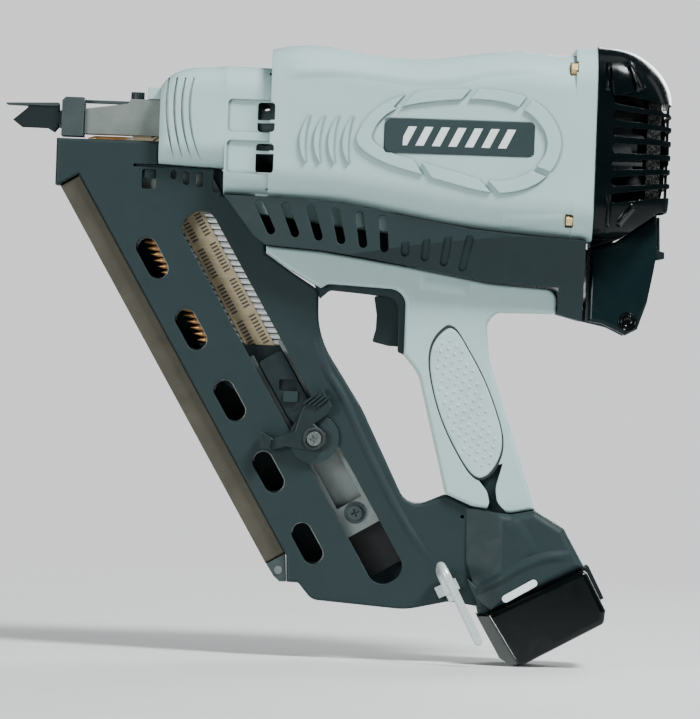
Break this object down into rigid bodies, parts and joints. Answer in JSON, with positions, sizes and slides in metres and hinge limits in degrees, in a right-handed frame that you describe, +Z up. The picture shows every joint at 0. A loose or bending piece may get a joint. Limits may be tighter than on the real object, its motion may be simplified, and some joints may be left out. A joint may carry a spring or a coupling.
{
  "type": "gas framing nailer",
  "caption": "Cordless gas framing nailer with an angled strip magazine, spring feeder, safety contact foot, trigger grip, fuel-cell door, slide battery and hanging hook.",
  "frame": {"origin": "mouth of the nail-exit bore, on the driver axis", "axes": "+X rearward along the driver axis, +Z up with the tool held level, -Y out of the tool's left side, where the feeder lever and hook are"},
  "size_m": [0.374, 0.1092, 0.3483],
  "materials": {
    "charcoal_plastic": "fine-textured charcoal moulding",
    "grey_plastic": "satin light grey moulding",
    "gloss_black": "glossy black moulding",
    "soft_pad": "soft dotted pad",
    "badge": "dark blank plate",
    "brass_bolt": "plain",
    "cast_metal": "bead-blasted casting",
    "dark_steel": "phosphated",
    "steel": "sheet steel",
    "bright_steel": "bright plated",
    "aluminium": "extruded, dull",
    "head_alloy": "bare casting",
    "nail_steel": "coated wire",
    "paper": "paper tape, as wood pulp",
    "black_plastic": "satin black moulding",
    "light_plastic": "light grey moulding",
    "band_plastic": "mid grey moulding",
    "black_rubber": "elastomer",
    "board": "circuit board",
    "ceramic_white": "glazed insulator",
    "can_metal": "plain can",
    "cell_wrap": "wrapped cells",
    "filter_foam": "foam"
  },
  "bodies": {
    "frame": {"housing_right": "charcoal_plastic", "housing_left": "charcoal_plastic", "cylinder_housing": "grey_plastic", "badge_plates": "badge", "cover_bolts": "brass_bolt", "head_cover": "gloss_black", "door_pin": "steel", "fuel_cell": "can_metal", "cylinder_head": "head_alloy", "fan_motor": "steel", "spark_plug": "ceramic_white", "air_filter": "filter_foam", "cylinder": "dark_steel", "bumper": "black_rubber", "front_cap": "cast_metal", "nose_guide": "cast_metal", "nose_bolts": "dark_steel", "grip_right": "grey_plastic", "grip_left": "grey_plastic", "inlay_right": "soft_pad", "inlay_left": "soft_pad", "trigger_pin": "steel", "trigger_switch": "black_plastic", "control_board": "board", "charge_bar": "light_plastic", "housing_screws": "dark_steel", "magazine_rail": "aluminium", "rail_end_cap": "dark_steel", "rail_rivet": "steel", "nail_channel": "steel", "nails": "nail_steel", "paper_tape": "paper", "battery_terminals": "brass_bolt", "hook_bracket": "bright_steel"},
    "contact_arm": {"contact_bracket": "dark_steel", "contact_strap": "dark_steel", "chamber_sleeve": "head_alloy", "chamber_seals": "black_rubber"},
    "foot": {"contact_foot": "dark_steel", "toe_plate": "dark_steel"},
    "knob": {"depth_knob": "black_plastic"},
    "driver": {"piston": "head_alloy", "piston_ring": "dark_steel", "driver_blade": "steel"},
    "first_nail": {"driven_nail": "nail_steel"},
    "trigger": {"trigger": "black_plastic", "trigger_spring": "steel"},
    "feeder": {"feeder_slider": "black_plastic", "feeder_fittings": "dark_steel", "feeder_spring": "steel", "lever_screw": "steel"},
    "feed_lever": {"feeder_lever": "black_plastic"},
    "door": {"fuel_door": "gloss_black"},
    "latch": {"door_latch": "black_plastic"},
    "battery": {"battery_case": "gloss_black", "battery_band": "band_plastic", "battery_cells": "cell_wrap"},
    "battery_button": {"battery_latch": "black_plastic"},
    "hook": {"hook": "bright_steel"},
    "fan": {"fan": "black_plastic"}
  },
  "joints": [
    {"name": "contact_arm_slide", "type": "slide", "parent": "frame", "child": "contact_arm", "axis": [1, 0, 0], "range_m": [0, 0.012], "stiffness_N_per_m": 300, "springref_m": -0.01},
    {"name": "depth_knob_turn", "type": "hinge", "parent": "contact_arm", "child": "knob", "pos_m": [0.0435, 0, 0.0142], "axis": [0, 0, 1], "range_deg": [0, 180]},
    {"name": "foot_adjust", "type": "slide", "parent": "contact_arm", "child": "foot", "axis": [1, 0, 0], "range_m": [-0.003, 0]},
    {"name": "driver_stroke", "type": "slide", "parent": "frame", "child": "driver", "axis": [-1, 0, 0], "range_m": [0, 0.078]},
    {"name": "nail_drive", "type": "slide", "parent": "frame", "child": "first_nail", "axis": [-1, 0, 0], "range_m": [0, 0.078]},
    {"name": "trigger_pull", "type": "hinge", "parent": "frame", "child": "trigger", "pos_m": [0.198, 0, -0.098], "axis": [0, -1, 0], "range_deg": [0, 9], "stiffness_Nm_per_rad": 0.8, "springref_deg": -8.59, "deforming": ["trigger_spring"]},
    {"name": "feeder_slide", "type": "slide", "parent": "frame", "child": "feeder", "axis": [0.509, 0, -0.8607], "range_m": [0, 0.035], "stiffness_N_per_m": 60, "springref_m": -0.06},
    {"name": "feed_lever_turn", "type": "hinge", "parent": "feeder", "child": "feed_lever", "pos_m": [0.15018, -0.019, -0.17491], "axis": [0, 1, 0], "range_deg": [0, 24], "stiffness_Nm_per_rad": 0.06, "springref_deg": -17.19},
    {"name": "fuel_door_swing", "type": "hinge", "parent": "frame", "child": "door", "pos_m": [0.3235, 0, -0.103], "axis": [0, 1, 0], "range_deg": [0, 95]},
    {"name": "door_latch_flex", "type": "hinge", "parent": "door", "child": "latch", "pos_m": [0.3404, 0, -0.065], "axis": [0, 1, 0], "range_deg": [0, 10], "stiffness_Nm_per_rad": 0.3, "springref_deg": -5.73},
    {"name": "battery_slide", "type": "slide", "parent": "frame", "child": "battery", "axis": [0.4617, 0, -0.887], "range_m": [0, 0.045]},
    {"name": "battery_button_press", "type": "slide", "parent": "battery", "child": "battery_button", "axis": [-0.887, 0, -0.4617], "range_m": [0, 0.0022], "stiffness_N_per_m": 800, "springref_m": -0.002},
    {"name": "hook_swing", "type": "hinge", "parent": "frame", "child": "hook", "pos_m": [0.2275, -0.019, -0.25525], "axis": [0.4586, 0, -0.8886], "range_deg": [0, 90]},
    {"name": "fan_spin", "type": "hinge", "parent": "frame", "child": "fan", "pos_m": [0.285, 0, 0], "axis": [1, 0, 0], "continuous": true}
  ],
  "couplings": [
    {"joint": "depth_knob_turn", "follows": "foot_adjust", "rad_per_m": -1047.2},
    {"joint": "nail_drive", "follows": "driver_stroke", "ratio": 1}
  ]
}
